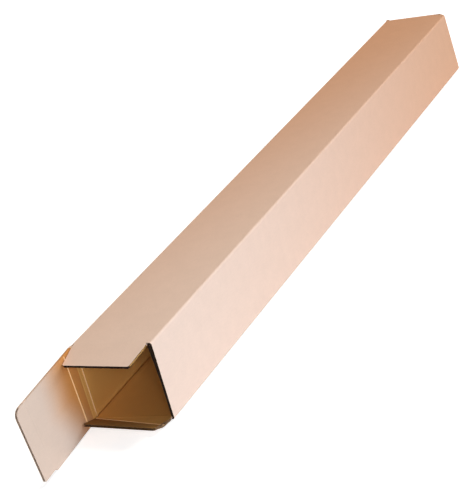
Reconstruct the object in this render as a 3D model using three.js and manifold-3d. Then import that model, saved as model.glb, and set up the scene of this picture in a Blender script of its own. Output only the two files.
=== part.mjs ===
// Square mailing tube, folded from one sheet of corrugated board, lying on one wall.
// Millimetres, +Z up. X runs along the tube: the open mouth is at +X, the closed end at -X.
// The front wall is at +Y, and the back wall, which carries both lids, is at -Y.
// The origin is under the middle of the tube, on the surface that it lies on.

import * as THREE from 'three';
import { mergeVertices } from 'three/addons/utils/BufferGeometryUtils.js';
import Module from 'manifold-3d';

// Tube body
const TUBE_LENGTH = 1095;
const TUBE_WIDTH = 106;
const TUBE_HEIGHT = 97;
const BOARD = 3;
const CORNER_RADIUS = 2.6;
const CORNER_BEAD = 1.2;
const ARC_STEPS = 5;

// Glued seam: a tab of the top wall, stuck inside the front wall
const SEAM_TAB_WIDTH = 64;
const SEAM_TAB_SLANT = 5;
const SEAM_TAB_MOUTH_SETBACK = 0.3;
const SEAM_TAB_FAR_SETBACK = 55;

// Creases: the board is pressed thin along each fold line, over this much on each side of it
const CREASE_REACH = 2.8;
const CREASE_WEB = 0.3;
const CREASE_GAP = 0.4;
const FIT_GAP = 0.3;
const SIDE_GAP = 0.6;

// Pieces of one solid are joined with this much of overlap
const LAP = 0.02;

// Open lid at the mouth, with its tuck tongue
const LID_LEAN = 4.3;
const LID_PANEL = 108;
const LID_SCORE_AT = 19;
const LID_SCORE_WIDTH = 2.4;
const LID_SCORE_DEPTH = 0.5;
const TONGUE_LENGTH = 22.5;
const TONGUE_SLANT = 7.2;
const TONGUE_NOTCH = 3;
const TONGUE_TOP_ROUND = 9;
const TONGUE_FOOT_ROUND = 2;

// Dust flaps at the mouth
const TOP_FLAP_LENGTH = 35;
const TOP_FLAP_SKEW = 5.5;
const TOP_FLAP_DROOP = 11;
const TOP_FLAP_SHOULDER = 11;
const TOP_FLAP_TAPER = 5;
const TOP_FLAP_ROUND = 3;
const BOTTOM_FLAP_LENGTH = 34;
const BOTTOM_FLAP_SKEW = 2.5;
const BOTTOM_FLAP_SHOULDER = 6;
const BOTTOM_FLAP_TAPER = 4.2;
const BOTTOM_FLAP_ROUND = 3;
const FLAP_SIDE_LEAN = 2.6;

// A bend made by hand in the bottom flap: it runs skew to the crease
const HAND_BEND_BACK = 2;
const HAND_BEND_FRONT = 19;
const HAND_BEND = 19.5;

// Closed end
const FAR_FLAP_LENGTH = 36;
const FAR_FLAP_SETBACK = 6;
const FAR_FLAP_TAPER = 5;
const FAR_FLAP_ROUND = 3;
const FAR_LID_DROP = 1.5;
const FAR_TONGUE_LENGTH = 20;
const FAR_TONGUE_LEAN = 13;
const FAR_TONGUE_MARGIN = 12;
const FOLD_SIDES = 24;

// The upper front corner of the closed end is knocked in
const KNOCK_DEPTH = 13.5;
const KNOCK_WIDTH = 14;
const KNOCK_HEIGHT = 89;

// Finish
const KRAFT = 0xd9b79a;
const KRAFT_LIT = 0xe6cdb8;
const KRAFT_SHADE = 0xb98a5c;
const PAPER_ROUGHNESS = 0.9;

// Places worked out from the sizes above
const radians = THREE.MathUtils.degToRad;
const mouthX = TUBE_LENGTH / 2;
const backY = -TUBE_WIDTH / 2;
const frontY = TUBE_WIDTH / 2;
const halfBoard = BOARD / 2;
const creaseInset = FIT_GAP + halfBoard;
const lidCreaseX = mouthX + creaseInset;
const flapCreaseX = mouthX - creaseInset;
const flapFrom = BOARD + SIDE_GAP;
const flapTo = TUBE_WIDTH - BOARD - SIDE_GAP;
const topFlapTo = flapTo - BOARD;
const farFlapTo = flapTo - FAR_FLAP_SETBACK;
const farLidPanel = TUBE_WIDTH - BOARD - SIDE_GAP - 2 * halfBoard;
const webFace = CREASE_GAP / 2;

// Fold lines, each in the middle of the board. In the frame of a fold line, x leads away
// from the tube, y runs along the fold, z points out of the tube, and a positive turn
// about y folds inwards.
function foldLine(origin, away, along) {
  const x = new THREE.Vector3(...away);
  const y = new THREE.Vector3(...along);
  const z = new THREE.Vector3().crossVectors(x, y);
  const line = new THREE.Group();
  line.applyMatrix4(new THREE.Matrix4().makeBasis(x, y, z).setPosition(...origin));
  line.updateMatrixWorld();
  return line;
}

const topZ = TUBE_HEIGHT - halfBoard;
const mouthLidFold = foldLine([lidCreaseX, backY + halfBoard, 0], [1, 0, 0], [0, 0, 1]);
const mouthTopFold = foldLine([flapCreaseX, backY, topZ], [1, 0, 0], [0, 1, 0]);
const mouthBottomFold = foldLine([flapCreaseX, frontY, halfBoard], [1, 0, 0], [0, -1, 0]);
const farLidFold = foldLine([-lidCreaseX, backY + halfBoard, TUBE_HEIGHT], [-1, 0, 0], [0, 0, -1]);
const farTopFold = foldLine([-flapCreaseX, frontY, topZ], [-1, 0, 0], [0, -1, 0]);
const farBottomFold = foldLine([-flapCreaseX, backY, halfBoard], [-1, 0, 0], [0, 1, 0]);

const wasm = await Module();
wasm.setup();

// A closed geometry becomes a solid that can be joined and cut
function solidOf(geometry) {
  const bare = geometry.clone();
  bare.deleteAttribute('normal');
  bare.deleteAttribute('uv');
  const merged = mergeVertices(bare);
  return new wasm.Manifold(new wasm.Mesh({
    numProp: 3,
    vertProperties: new Float32Array(merged.attributes.position.array),
    triVerts: new Uint32Array(merged.index.array),
  }));
}

function geometryOf(solid) {
  const mesh = solid.getMesh();
  const geometry = new THREE.BufferGeometry();
  geometry.setAttribute('position', new THREE.BufferAttribute(mesh.vertProperties, 3));
  geometry.setIndex(new THREE.BufferAttribute(mesh.triVerts, 1));
  geometry.computeVertexNormals();
  return geometry;
}

function moved(solid, matrix) {
  return solid.transform(matrix.elements);
}

// Points of the arc that rounds a corner, from the edge before it to the edge after it
function cornerArc(before, corner, after, radius) {
  const tip = new THREE.Vector2(...corner);
  const back = new THREE.Vector2(...before).sub(tip).normalize();
  const ahead = new THREE.Vector2(...after).sub(tip).normalize();
  const half = Math.acos(back.dot(ahead)) / 2;
  const bisector = back.clone().add(ahead).normalize();
  const centre = tip.clone().addScaledVector(bisector, radius / Math.sin(half));
  const first = tip.clone().addScaledVector(back, radius / Math.tan(half)).sub(centre);
  const last = tip.clone().addScaledVector(ahead, radius / Math.tan(half)).sub(centre);
  const sweep = Math.atan2(first.cross(last), first.dot(last));
  const points = [];
  for (let i = 0; i <= ARC_STEPS; i++) {
    const angle = (sweep * i) / ARC_STEPS;
    points.push(first.clone().rotateAround(new THREE.Vector2(), angle).add(centre));
  }
  return points;
}

// A closed outline from corners [x, y] or [x, y, radius]
function outline(corners) {
  const points = corners.flatMap(([x, y, radius], i) => {
    if (!radius) return [new THREE.Vector2(x, y)];
    const before = corners.at(i - 1).slice(0, 2);
    const after = corners[(i + 1) % corners.length].slice(0, 2);
    return cornerArc(before, [x, y], after, radius);
  });
  return new THREE.Shape(points);
}

// A prism of an outline in the x-y plane, between two heights
function prism(shape, low, high) {
  const geometry = new THREE.ExtrudeGeometry(shape, { depth: high - low, bevelEnabled: false });
  return geometry.translate(0, 0, low);
}

// A bar along y whose section is an outline in the x-z plane
function bar(corners, start, end) {
  const geometry = prism(outline(corners), -end, -start);
  return geometry.rotateX(Math.PI / 2);
}

function box(low, high) {
  const size = high.map((value, i) => value - low[i]);
  const geometry = new THREE.BoxGeometry(...size);
  return geometry.translate(...low.map((value, i) => value + size[i] / 2));
}

function board(shape) {
  return solidOf(prism(shape, -halfBoard, halfBoard));
}

// What a crease takes off the board beyond it: both faces slope down to the thin web
function creaseCut(start, end) {
  const over = BOARD;
  return bar([
    [-over, -halfBoard - over],
    [CREASE_REACH, -halfBoard - over],
    [CREASE_REACH, -halfBoard],
    [webFace, -CREASE_WEB / 2],
    [webFace, CREASE_WEB / 2],
    [CREASE_REACH, halfBoard],
    [CREASE_REACH, halfBoard + over],
    [-over, halfBoard + over],
  ], start, end);
}

// The same for the board before the crease, with all that lies past the crease
function creaseCutBefore(start, end) {
  const nearSide = creaseCut(-end, -start).rotateZ(Math.PI);
  const past = box([-webFace, start, -2 * BOARD], [3 * BOARD, end, 2 * BOARD]);
  return solidOf(nearSide).add(solidOf(past));
}

// The knocked corner: what lies outside the line across the corner slides into the tube,
// in proportion to its distance from that line
function knockedIn(solid) {
  const across = 1 / KNOCK_WIDTH;
  const down = 1 / KNOCK_HEIGHT;
  const size = 4 * TUBE_HEIGHT;
  const start = new THREE.Vector3(0, frontY, TUBE_HEIGHT - KNOCK_HEIGHT);
  const outwards = new THREE.Vector3(0, across, down).normalize();
  const turn = new THREE.Quaternion().setFromUnitVectors(new THREE.Vector3(0, 1, 0), outwards);
  const beyond = (lap) => solidOf(new THREE.BoxGeometry(TUBE_LENGTH, size, size)
    .translate(-TUBE_LENGTH / 2, size / 2 - lap, 0)
    .applyQuaternion(turn)
    .translate(...start));
  const shear = new THREE.Matrix4().set(
    1, KNOCK_DEPTH * across, KNOCK_DEPTH * down,
    KNOCK_DEPTH * (1 - frontY * across - TUBE_HEIGHT * down),
    0, 1, 0, 0,
    0, 0, 1, 0,
    0, 0, 0, 1,
  );
  return solid.subtract(beyond(0)).add(moved(solid.intersect(beyond(LAP)), shear));
}

// Section of the folded sheet: round outside, with a small bead in each inner corner
function sleeveSection() {
  const section = outline([
    [0, 0, CORNER_RADIUS],
    [TUBE_WIDTH, 0, CORNER_RADIUS],
    [TUBE_WIDTH, TUBE_HEIGHT, CORNER_RADIUS],
    [0, TUBE_HEIGHT, CORNER_RADIUS],
  ]);
  const right = TUBE_WIDTH - BOARD;
  const high = TUBE_HEIGHT - BOARD;
  const hollow = [
    [BOARD + CORNER_BEAD, BOARD],
    [BOARD, BOARD + CORNER_BEAD],
    [BOARD, high - CORNER_BEAD],
    [BOARD + CORNER_BEAD, high],
    [right - CORNER_BEAD, high],
    [right, high - CORNER_BEAD],
    [right, BOARD + CORNER_BEAD],
    [right - CORNER_BEAD, BOARD],
  ];
  section.holes.push(new THREE.Path(hollow.map(([y, z]) => new THREE.Vector2(y, z))));
  return section;
}

// Four walls and the glued tab, with a plain cut edge on the front wall
function makeSleeve() {
  const reach = lidCreaseX + BOARD;
  const walls = prism(sleeveSection(), -reach, reach)
    .rotateX(Math.PI / 2)
    .rotateZ(Math.PI / 2)
    .translate(0, backY, 0);
  let sleeve = solidOf(walls);
  sleeve = sleeve.add(solidOf(bar([
    [mouthX - SEAM_TAB_MOUTH_SETBACK, topZ],
    [-mouthX + SEAM_TAB_FAR_SETBACK, topZ],
    [-mouthX + SEAM_TAB_FAR_SETBACK + SEAM_TAB_SLANT, topZ - SEAM_TAB_WIDTH],
    [mouthX - SEAM_TAB_MOUTH_SETBACK - SEAM_TAB_SLANT, topZ - SEAM_TAB_WIDTH],
  ], frontY - 2 * BOARD, frontY - halfBoard)));
  for (const side of [1, -1]) {
    const edges = [side * mouthX, side * (reach + BOARD)].sort((a, b) => a - b);
    sleeve = sleeve.subtract(solidOf(box(
      [edges[0], backY + BOARD + FIT_GAP, -BOARD],
      [edges[1], frontY + BOARD, TUBE_HEIGHT + BOARD],
    )));
  }
  for (const [fold, end] of [[mouthTopFold, topFlapTo], [mouthBottomFold, flapTo]]) {
    const slot = creaseCutBefore(flapFrom - FIT_GAP, end + FIT_GAP);
    sleeve = sleeve.subtract(moved(slot, fold.matrixWorld));
  }
  const room = solidOf(box([0, BOARD, -BOARD], [BOARD, TUBE_WIDTH - BOARD, BOARD]));
  for (const [fold, flipped] of [[farTopFold, true], [farBottomFold, false]]) {
    sleeve = sleeve.subtract(moved(room, fold.matrixWorld));
    sleeve = sleeve.add(moved(makeFarDustFlap(flipped), fold.matrixWorld));
  }
  for (const fold of [mouthLidFold, farLidFold]) {
    const cut = creaseCutBefore(-BOARD, TUBE_HEIGHT + BOARD);
    sleeve = sleeve.subtract(moved(cut, fold.matrixWorld));
  }
  return knockedIn(sleeve);
}

function withCrease(flap, start, end) {
  return flap.subtract(solidOf(creaseCut(start - BOARD, end + BOARD)));
}

// The tongue's crease leans with the lid's tip, in the frame of the lid's fold line
const tongueFold = new THREE.Group();
tongueFold.position.set(LID_PANEL, 0, 0);
tongueFold.rotation.z = -radians(TONGUE_SLANT);
tongueFold.updateMatrix();

const slope = Math.tan(radians(TONGUE_SLANT));
const lidFoot = FIT_GAP;
const lidHead = TUBE_HEIGHT;
const tongueFoot = lidFoot + TONGUE_NOTCH;

function makeMouthLid() {
  const panel = board(outline([
    [webFace, lidFoot],
    [LID_PANEL - TONGUE_NOTCH, lidFoot],
    [LID_PANEL + tongueFoot * slope, tongueFoot],
    [LID_PANEL + lidHead * slope, lidHead],
    [webFace, lidHead],
  ]));
  const tongueCrease = creaseCutBefore(-TUBE_HEIGHT, 2 * TUBE_HEIGHT);
  const score = bar([
    [LID_SCORE_AT - LID_SCORE_WIDTH / 2, -halfBoard - LID_SCORE_DEPTH],
    [LID_SCORE_AT + LID_SCORE_WIDTH / 2, -halfBoard - LID_SCORE_DEPTH],
    [LID_SCORE_AT, -halfBoard + LID_SCORE_DEPTH],
  ], -BOARD, TUBE_HEIGHT + BOARD);
  return withCrease(panel, lidFoot, lidHead)
    .subtract(moved(tongueCrease, tongueFold.matrix))
    .subtract(solidOf(score));
}

function makeMouthTongue() {
  const stretch = 1 / Math.cos(radians(TONGUE_SLANT));
  const foot = tongueFoot * stretch;
  const head = lidHead * stretch;
  const rise = TONGUE_LENGTH * slope;
  return withCrease(board(outline([
    [webFace, foot + webFace * slope],
    [TONGUE_LENGTH, foot + rise, TONGUE_FOOT_ROUND],
    [TONGUE_LENGTH, head + rise, TONGUE_TOP_ROUND],
    [webFace, head + webFace * slope],
  ])), foot, head + rise);
}

// A dust flap leans a little on one side, and has a shoulder and a taper on the other.
// Its y starts at the back wall, or with flipped true at the front wall.
function flapOutline({ length, skew, to, shoulder, taper, lean, round, flipped = false }) {
  const corners = [
    [webFace, flapFrom],
    [length, flapFrom + lean, round],
    [length + skew, to - taper, round],
    [shoulder, to],
    [webFace, to],
  ];
  if (!flipped) return outline(corners);
  return outline(corners.map(([x, y, radius]) => [x, TUBE_WIDTH - y, radius]).reverse());
}

// The top flap stops short of the glued tab, so that it can fold in past it
function makeMouthTopFlap() {
  const plate = board(flapOutline({
    length: TOP_FLAP_LENGTH,
    skew: TOP_FLAP_SKEW,
    to: topFlapTo,
    shoulder: TOP_FLAP_SHOULDER,
    taper: TOP_FLAP_TAPER,
    lean: FLAP_SIDE_LEAN,
    round: TOP_FLAP_ROUND,
  }));
  return withCrease(plate, flapFrom, topFlapTo);
}

// The bottom flap lies flat as far as the bend made by hand, and rises beyond it
function makeMouthBottomFlap() {
  const plate = board(flapOutline({
    length: BOTTOM_FLAP_LENGTH,
    skew: BOTTOM_FLAP_SKEW,
    to: flapTo,
    shoulder: BOTTOM_FLAP_SHOULDER,
    taper: BOTTOM_FLAP_TAPER,
    lean: FLAP_SIDE_LEAN,
    round: BOTTOM_FLAP_ROUND,
    flipped: true,
  }));
  const flap = withCrease(plate, flapFrom, flapTo);
  const turn = Math.atan2(HAND_BEND_FRONT - HAND_BEND_BACK, flapTo - flapFrom);
  const bendLine = new THREE.Matrix4()
    .makeRotationZ(turn)
    .setPosition(HAND_BEND_FRONT, flapFrom, 0);
  const bend = new THREE.Matrix4().set(
    Math.cos(radians(HAND_BEND)), 0, 0, 0,
    0, 1, 0, 0,
    -Math.sin(radians(HAND_BEND)), 0, 1, 0,
    0, 0, 0, 1,
  );
  const wide = 2 * TUBE_WIDTH;
  const beyond = (lap) => moved(solidOf(box([-lap, -wide, -wide], [wide, wide, wide])), bendLine);
  const bentBack = bendLine.clone().multiply(bend).multiply(bendLine.clone().invert());
  return flap.subtract(beyond(0)).add(moved(flap.intersect(beyond(LAP)), bentBack));
}

// A fold of the closed end: the board before it, a round bar along it and the turned board
function folded(before, turned, at, start, end, angle) {
  const bend = new THREE.CylinderGeometry(halfBoard, halfBoard, end - start, FOLD_SIDES)
    .translate(at, (start + end) / 2, 0);
  const turn = new THREE.Matrix4()
    .makeRotationY(radians(angle))
    .setPosition(at, 0, 0);
  return before.add(solidOf(bend)).add(moved(turned, turn));
}

function makeFarDustFlap(flipped) {
  const start = flipped ? TUBE_WIDTH - farFlapTo : flapFrom;
  const end = flipped ? TUBE_WIDTH - flapFrom : farFlapTo;
  const slant = [
    [0, flapFrom],
    [FAR_FLAP_LENGTH, flapFrom + FLAP_SIDE_LEAN, FAR_FLAP_ROUND],
    [FAR_FLAP_LENGTH, farFlapTo - FAR_FLAP_TAPER, FAR_FLAP_ROUND],
    [0, farFlapTo],
  ].map(([x, y, radius]) => [x, flipped ? TUBE_WIDTH - y : y, radius]);
  const plate = board(outline(flipped ? slant.reverse() : slant));
  const root = solidOf(box([-CREASE_REACH, start, -halfBoard], [0, end, halfBoard]));
  return folded(root, plate, 0, start, end, 90);
}

// The closed lid: its tongue is folded past the square, so that it swings clear of the
// front wall
function makeFarLid() {
  const from = FAR_LID_DROP;
  const to = TUBE_HEIGHT - FIT_GAP;
  const panel = withCrease(board(outline([
    [webFace, from],
    [farLidPanel, from],
    [farLidPanel, to],
    [webFace, to],
  ])), from, to);
  const foot = FAR_TONGUE_MARGIN;
  const head = TUBE_HEIGHT - FAR_TONGUE_MARGIN;
  const tongue = board(outline([
    [0, foot],
    [FAR_TONGUE_LENGTH, foot, TONGUE_TOP_ROUND],
    [FAR_TONGUE_LENGTH, head, TONGUE_TOP_ROUND],
    [0, head],
  ]));
  const lid = folded(panel, tongue, farLidPanel, foot, head, 90 + FAR_TONGUE_LEAN);
  const place = farLidFold.matrixWorld.clone()
    .multiply(new THREE.Matrix4().makeRotationY(radians(90)));
  return moved(knockedIn(moved(lid, place)), place.clone().invert());
}

function addMesh(parent, name, solid, colour) {
  const material = new THREE.MeshStandardMaterial({
    color: colour,
    roughness: PAPER_ROUGHNESS,
    metalness: 0,
  });
  const mesh = new THREE.Mesh(geometryOf(solid), material);
  mesh.name = name;
  parent.add(mesh);
}

// Turns what hangs on a fold line inwards by an angle in degrees
function hangOn(fold, angle) {
  const hanger = new THREE.Group();
  hanger.rotation.y = radians(angle);
  fold.add(hanger);
  return hanger;
}

const tube = new THREE.Group();
tube.add(mouthLidFold, mouthTopFold, mouthBottomFold, farLidFold);
addMesh(tube, 'sleeve', makeSleeve(), KRAFT);

const mouthLid = hangOn(mouthLidFold, LID_LEAN);
addMesh(mouthLid, 'mouth_lid', makeMouthLid(), KRAFT_LIT);
mouthLid.add(tongueFold);
addMesh(tongueFold, 'mouth_tongue', makeMouthTongue(), KRAFT_LIT);
addMesh(hangOn(mouthTopFold, TOP_FLAP_DROOP), 'mouth_top_flap', makeMouthTopFlap(), KRAFT);
addMesh(hangOn(mouthBottomFold, 0), 'mouth_bottom_flap', makeMouthBottomFlap(), KRAFT_SHADE);
addMesh(hangOn(farLidFold, 90), 'end_lid', makeFarLid(), KRAFT);

export default tube;
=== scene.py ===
"""A square mailing tube folded from one sheet of corrugated kraft board.

Every wall and flap is built as the board is: an outer liner, an inner liner and the
fluted medium between them. Sizes are in millimetres up to the moment a mesh is made.
"""

import math

import bmesh
import bpy
from mathutils import Euler, Matrix, Vector


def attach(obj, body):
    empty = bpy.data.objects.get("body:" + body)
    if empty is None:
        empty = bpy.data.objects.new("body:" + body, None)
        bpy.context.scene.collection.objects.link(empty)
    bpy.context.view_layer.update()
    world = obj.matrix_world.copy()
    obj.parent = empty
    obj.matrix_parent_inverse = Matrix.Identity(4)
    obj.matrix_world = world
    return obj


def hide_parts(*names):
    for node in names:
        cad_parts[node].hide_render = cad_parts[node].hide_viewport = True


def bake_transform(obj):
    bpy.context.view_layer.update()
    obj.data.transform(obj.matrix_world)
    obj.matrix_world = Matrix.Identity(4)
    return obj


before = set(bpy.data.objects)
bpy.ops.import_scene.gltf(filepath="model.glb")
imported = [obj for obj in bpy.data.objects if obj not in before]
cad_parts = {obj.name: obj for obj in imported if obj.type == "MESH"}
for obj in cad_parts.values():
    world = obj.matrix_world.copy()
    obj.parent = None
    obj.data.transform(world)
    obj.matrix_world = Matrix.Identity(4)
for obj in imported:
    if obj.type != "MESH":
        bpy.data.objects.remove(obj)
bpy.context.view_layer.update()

# Tube body
TUBE_LENGTH = 1095.0
TUBE_WIDTH = 106.0
TUBE_HEIGHT = 97.0
BOARD = 3.0
CORNER_RADIUS = 2.6
# What is left free where one folded panel passes another, and at both sides of a flap
FIT_GAP = 0.3
SIDE_GAP = 0.6
MOUTH = TUBE_LENGTH / 2
BACK = -TUBE_WIDTH / 2
FRONT = TUBE_WIDTH / 2
HALF_BOARD = BOARD / 2

# Corrugated board
LINER = 0.4
MEDIUM = 0.3
FLUTE_PITCH = 6.4
FLUTE_STEPS = 8
FLUTE_INSET = 0.25
FACE_PITCH = 4.0
NEAREST_ROWS = 0.05
WITHIN_OUTLINE = 0.001
EDGE_STEPS = 12
PRESSED_DEPTH = 0.9
# Points (share of the depth, height) of half an edge that the die has pressed together
PRESSED_PROFILE = (
    (0.02, 0.6 * LINER),
    (0.45, HALF_BOARD - 0.35 * LINER),
    (1.0, HALF_BOARD - 0.5 * LINER),
)
# The edge of a board is pressed if it is at least this long and leans less than this
PRESSED_FROM = 4.0
PRESSED_LEAN = 0.2

# Creases
CREASE_REACH = 2.8
CREASE_STEPS = 14
CREASE_PITCH = 12.0
CREASE_INSET = FIT_GAP + HALF_BOARD
LID_CREASE_X = MOUTH + CREASE_INSET
FLAP_CREASE_X = MOUTH - CREASE_INSET
FLAP_FROM = BOARD + SIDE_GAP
FLAP_TO = TUBE_WIDTH - BOARD - SIDE_GAP
TOP_FLAP_TO = FLAP_TO - BOARD
CREASE_SHARPNESS = 4
GROOVE_DEPTH = 0.12
BEAD_HEIGHT = 0.25
TONGUE_PRESS = 0.2
CLOSED = 90.0

# Open lid
LID_LEAN = 4.3
LID_PANEL = 108.0
LID_FOOT = FIT_GAP
TONGUE_LENGTH = 22.5
TONGUE_SLANT = 7.2
TONGUE_NOTCH = 3.0
TONGUE_TOP_ROUND = 9.0
TONGUE_FOOT_ROUND = 2.0
# How far from the lid's crease its score line runs, and the ridge that the line is
RIDGE_AT_TOP = 21.5
RIDGE_AT_FOOT = 17.0
RIDGE_WIDTH = 1.5
RIDGE_HEIGHT = 1.0
RIDGE_STEPS = 8
RIDGE_MARGIN = 1.0
# How far inside the mouth the back wall has its score line, and the ridge that the line is
WALL_RIDGE_INSIDE = 6.0
WALL_RIDGE_LEAN = 1.0
WALL_RIDGE_WIDTH = 2.4
WALL_RIDGE_HEIGHT = 0.55

# Dust flaps
FLAP_LEAN = 2.6
FLAP_ROUND = 3.0
TOP_FLAP = dict(length=35.0, skew=5.5, to=TOP_FLAP_TO, shoulder=11.0, taper=5.0)
TOP_FLAP_DROOP = 11.0
BOTTOM_FLAP = dict(length=34.0, skew=2.5, to=FLAP_TO, shoulder=6.0, taper=4.2)
# Where the bend by hand meets the flap's back and front edges, its angle and half its width
HAND_BEND_BACK = 2.0
HAND_BEND_FRONT = 19.0
HAND_BEND = 19.5
HAND_BEND_HALF = 2.0
BEND_BEAD_WIDTH = 2.0
BEND_BEAD_HEIGHT = 0.6
BEND_BEAD_SHIFT = 2.0

# Glued seam tab
SEAM_TAB_WIDTH = 64.0
SEAM_TAB_SLANT = 5.0
SEAM_TAB_MOUTH_SETBACK = 0.3
SEAM_TAB_FAR_SETBACK = 55.0
GLUE = 0.02

# Closed end
END_FLAP_LENGTH = 36.0
END_FLAP_NARROWER = 6.0
END_FLAP_TO = FLAP_TO - END_FLAP_NARROWER
END_FLAP_TAPER = 5.0
END_LID_PANEL = TUBE_WIDTH - 2 * BOARD - SIDE_GAP
END_LID_DROP = 1.5
END_TONGUE_LENGTH = 20.0
END_TONGUE_LEAN = 13.0
END_TONGUE_MARGIN = 12.0
KNOCK_DEPTH = 13.5
KNOCK_WIDTH = 14.0
KNOCK_HEIGHT = 89.0
KNOCK_REACH = 90.0

# Angles above which a shaded edge is sharp
BOARD_SHARP = 35
CREASE_SHARP = 60

METRE = 0.001


# Fold lines


class Fold:
    """A fold line: x leads away from the tube, y runs along the fold, z points outwards."""

    def __init__(self, origin, away, along):
        x, y = Vector(away), Vector(along)
        z = x.cross(y)
        self.matrix = Matrix((
            (x.x, y.x, z.x, origin[0]),
            (x.y, y.y, z.y, origin[1]),
            (x.z, y.z, z.z, origin[2]),
            (0, 0, 0, 1),
        ))

    def turned(self, degrees):
        """The frame of a panel that is folded inwards by an angle."""
        return self.matrix @ Matrix.Rotation(math.radians(degrees), 4, "Y")


TOP_Z = TUBE_HEIGHT - HALF_BOARD
MOUTH_LID_FOLD = Fold((LID_CREASE_X, BACK + HALF_BOARD, 0), (1, 0, 0), (0, 0, 1))
MOUTH_TOP_FOLD = Fold((FLAP_CREASE_X, BACK, TOP_Z), (1, 0, 0), (0, 1, 0))
MOUTH_BOTTOM_FOLD = Fold((FLAP_CREASE_X, FRONT, HALF_BOARD), (1, 0, 0), (0, -1, 0))
END_LID_FOLD = Fold((-LID_CREASE_X, BACK + HALF_BOARD, TUBE_HEIGHT), (-1, 0, 0), (0, 0, -1))
END_TOP_FOLD = Fold((-FLAP_CREASE_X, FRONT, TOP_Z), (-1, 0, 0), (0, -1, 0))
END_BOTTOM_FOLD = Fold((-FLAP_CREASE_X, BACK, HALF_BOARD), (-1, 0, 0), (0, 1, 0))


# Mesh making


class Stack:
    """Collects closed shells of board and paper into one mesh."""

    def __init__(self, place=Matrix.Identity(4), shape=None):
        self.place = place
        self.shape = shape or (lambda point: point)
        self.points = []
        self.faces = []
        self.finishes = []

    def add(self, points, faces, finish):
        start = len(self.points)
        self.points += [self.shape(self.place @ Vector(p)) * METRE for p in points]
        self.faces += [[start + i for i in face] for face in faces]
        self.finishes += [finish] * len(faces)

    def slab(self, rows, low, high, finish, edge_finish=None, buried=None):
        """A closed slab over rows of (x, y) points, between two heights or height functions.

        The edge finish goes on the edges that are cut across the rows. A liner's buried
        side, which faces the flutes, is "over" or "under".
        """
        n, m = len(rows), len(rows[0])
        low_at = low if callable(low) else lambda x, y: low
        high_at = high if callable(high) else lambda x, y: high
        flat = [p for row in rows for p in row]
        points = [(x, y, high_at(x, y)) for x, y in flat]
        points += [(x, y, low_at(x, y)) for x, y in flat]
        under = n * m
        cells = [(r * m + c, r * m + c + 1, (r + 1) * m + c + 1, (r + 1) * m + c)
                 for r in range(n - 1) for c in range(m - 1)]
        skins = cells + [tuple(under + i for i in reversed(cell)) for cell in cells]
        # The rim runs along the first row, the last column, the last row and the first column
        rim = list(range(m)) + [r * m + m - 1 for r in range(1, n)]
        rim += [(n - 1) * m + c for c in reversed(range(m - 1))]
        rim += [r * m for r in reversed(range(1, n - 1))]
        edges = [(a, under + a, under + b, b) for a, b in zip(rim, rim[1:] + rim[:1])]
        self.add(points, skins + edges, finish)
        if edge_finish is not None:
            first = len(self.finishes) - len(edges)
            for cut in (first + m - 1, first + 2 * m + n - 3):
                self.finishes[cut:cut + n - 1] = [edge_finish] * (n - 1)
        if buried is not None:
            first = len(self.finishes) - len(edges) - len(cells) * (2 if buried == "over" else 1)
            self.finishes[first:first + len(cells)] = [FLUTES] * len(cells)

    def loft(self, sections, finish):
        """A closed body through sections of equal length, each a closed loop of points."""
        m = len(sections[0])
        points = [p for section in sections for p in section]
        faces = []
        for s in range(len(sections) - 1):
            for i in range(m):
                j = (i + 1) % m
                a, b = s * m, (s + 1) * m
                faces.append((a + i, a + j, b + j, b + i))
        last = (len(sections) - 1) * m
        faces.append(tuple(reversed(range(m))))
        faces.append(tuple(last + i for i in range(m)))
        self.add(points, faces, finish)

    def piece(self, name, materials, sharp=BOARD_SHARP):
        mesh = bpy.data.meshes.new(name)
        mesh.from_pydata(self.points, [], self.faces)
        mesh.polygons.foreach_set("material_index", self.finishes)
        mesh.polygons.foreach_set("use_smooth", [True] * len(self.faces))
        for material in materials:
            mesh.materials.append(material)
        mesh.validate()
        mesh.update()
        obj = bpy.data.objects.new(name, mesh)
        bpy.context.scene.collection.objects.link(obj)
        outward(obj)
        mesh.set_sharp_from_angle(angle=math.radians(sharp))
        return obj


def outward(obj):
    """Turns every shell's faces outwards."""
    work = bmesh.new()
    work.from_mesh(obj.data)
    bmesh.ops.recalc_face_normals(work, faces=work.faces)
    work.to_mesh(obj.data)
    work.free()


def arc(before, corner, after, radius, steps=6):
    """Points of the arc that rounds a corner of an outline."""
    tip = Vector(corner)
    back = (Vector(before) - tip).normalized()
    ahead = (Vector(after) - tip).normalized()
    half = back.angle(ahead) / 2
    centre = tip + (back + ahead).normalized() * (radius / math.sin(half))
    first = tip + back * (radius / math.tan(half)) - centre
    last = tip + ahead * (radius / math.tan(half)) - centre
    sweep = first.angle_signed(last)
    return [centre + Matrix.Rotation(-sweep * i / steps, 2) @ first for i in range(steps + 1)]


def outline(corners):
    """A closed outline from corners (x, y) or (x, y, radius)."""
    points = []
    for i, corner in enumerate(corners):
        if len(corner) < 3:
            points.append(Vector(corner))
            continue
        before, after = corners[i - 1][:2], corners[(i + 1) % len(corners)][:2]
        points += arc(before, corner[:2], after, corner[2])
    return points


def span(points, y):
    """Where the outline begins and ends along x at one y."""
    crossings = []
    for a, b in zip(points, points[1:] + points[:1]):
        if min(a.y, b.y) <= y <= max(a.y, b.y) and a.y != b.y:
            crossings.append(a.x + (b.x - a.x) * (y - a.y) / (b.y - a.y))
    return min(crossings), max(crossings)


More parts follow.
